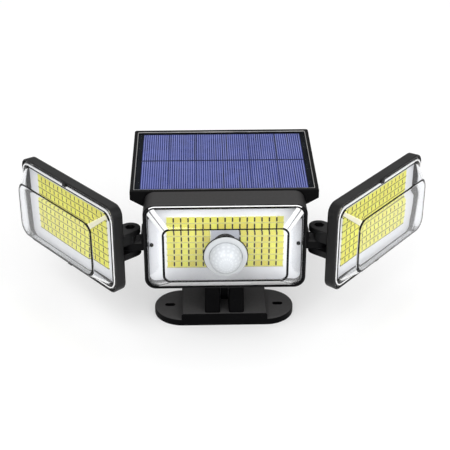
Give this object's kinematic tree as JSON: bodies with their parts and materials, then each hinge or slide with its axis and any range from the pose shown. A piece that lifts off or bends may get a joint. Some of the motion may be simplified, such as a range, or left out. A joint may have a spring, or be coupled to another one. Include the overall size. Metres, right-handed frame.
{
  "type": "solar security light",
  "caption": "Solar security light: a tilting main lamp with a motion sensor and a panel on top, swivelling side lamps, on a slotted wall base with a fork hinge.",
  "frame": {"origin": "centre of the wall base's underside, between its two slots", "axes": "+Z away from the mounting surface, +X to the right along the base, the main lamp faces -Y"},
  "size_m": [0.3336, 0.151, 0.1306],
  "materials": {
    "black_housing": "satin moulded",
    "clear_lens": "clear polished",
    "seal_rubber": "matt",
    "white_board": "satin",
    "led_chip": "satin phosphor",
    "black_screw": "black oxide",
    "sensor_black": "satin",
    "sensor_white": "satin",
    "sensor_dome": "frosted",
    "steel": "zinc plated",
    "washer": "nylon",
    "panel_back": "satin",
    "solar_cell": "blue polycrystalline",
    "panel_cover": "clear",
    "inner_plastic": "moulded",
    "battery": "film wrapped",
    "circuit_board": "solder mask",
    "component": "moulded",
    "button_rubber": "matt"
  },
  "bodies": {
    "base": {"wall_base": "black_housing", "tilt_bolt": "steel", "tilt_nut": "steel", "tilt_washers": "washer"},
    "lamp": {"lamp_housing": "black_housing", "rear_housing": "black_housing", "main_lens": "clear_lens", "main_lens_seal": "seal_rubber", "main_led_board": "white_board", "main_leds": "led_chip", "board_screws": "black_screw", "sensor_holder": "sensor_black", "motion_sensor": "steel", "sensor_collar": "sensor_white", "sensor_dome": "sensor_dome", "housing_screws": "steel", "panel_backsheet": "panel_back", "solar_cells": "solar_cell", "panel_cover": "panel_cover", "battery_holder": "inner_plastic", "battery_cell": "battery", "control_board": "circuit_board", "control_components": "component", "mode_switch": "component"},
    "left_head": {"left_housing": "black_housing", "left_lens": "clear_lens", "left_lens_seal": "seal_rubber", "left_led_board": "white_board", "left_leds": "led_chip", "left_hinge_screw": "black_screw", "left_hinge_nut": "black_screw", "left_hinge_washers": "washer"},
    "right_head": {"right_housing": "black_housing", "right_lens": "clear_lens", "right_lens_seal": "seal_rubber", "right_led_board": "white_board", "right_leds": "led_chip", "right_hinge_screw": "black_screw", "right_hinge_nut": "black_screw", "right_hinge_washers": "washer"},
    "button": {"mode_button": "button_rubber"}
  },
  "joints": [
    {"name": "lamp_tilt", "type": "hinge", "parent": "base", "child": "lamp", "pos_m": [0, 0, 0.0245], "axis": [1, 0, 0], "range_deg": [-60, 45]},
    {"name": "left_head_swivel", "type": "hinge", "parent": "lamp", "child": "left_head", "pos_m": [-0.073, -0.0322, 0.085], "axis": [0, 0, -1], "range_deg": [-50, 40]},
    {"name": "right_head_swivel", "type": "hinge", "parent": "lamp", "child": "right_head", "pos_m": [0.073, -0.0322, 0.085], "axis": [0, 0, 1], "range_deg": [-50, 40]},
    {"name": "mode_button_press", "type": "slide", "parent": "lamp", "child": "button", "axis": [0, 0, 1], "range_m": [0, 0.001], "stiffness_N_per_m": 500, "springref_m": -0.002}
  ]
}
